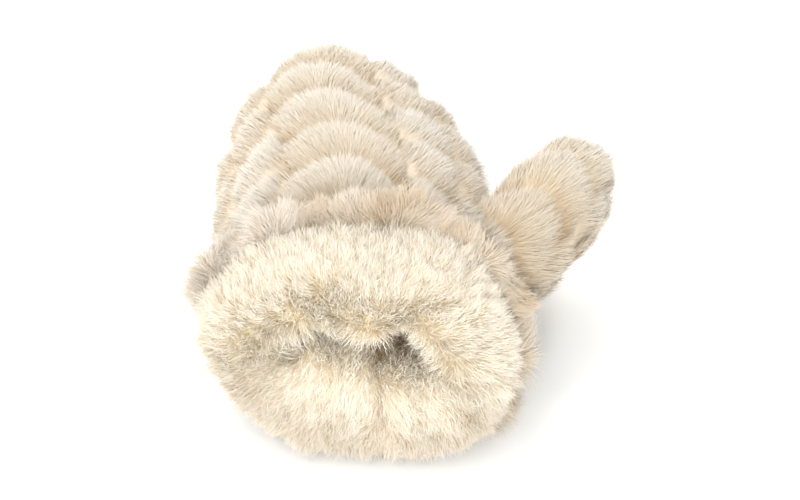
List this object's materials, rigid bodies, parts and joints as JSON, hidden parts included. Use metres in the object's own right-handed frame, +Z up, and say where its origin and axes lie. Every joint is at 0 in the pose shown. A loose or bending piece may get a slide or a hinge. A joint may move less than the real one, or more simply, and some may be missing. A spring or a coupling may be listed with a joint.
{
  "type": "fleece-lined plush fur mitten with turned-back cuff",
  "caption": "Right-hand winter mitten of plaited plush fur with a fleece lining, an outstanding thumb and a cuff turned back once, lying palm up.",
  "frame": {"origin": "on the table under the middle of the mitten's box, as it lies palm up", "axes": "+Y from the mouth to the fingertip, +X to the thumb's side, +Z up out of the palm"},
  "size_m": [0.1732, 0.2256, 0.0843],
  "materials": {
    "fur_cloth": "plush fur, plaited in slanted pads",
    "cuff_fur": "long plush fur",
    "fleece": "curly high-pile fleece"
  },
  "bodies": {
    "root": {"shell_palm": "fur_cloth", "shell_back": "fur_cloth", "shell_thumb": "fur_cloth", "cuff_fur": "cuff_fur", "cuff_fleece": "fleece", "lining_palm": "fleece", "lining_back": "fleece", "lining_thumb": "fleece"}
  },
  "joints": []
}
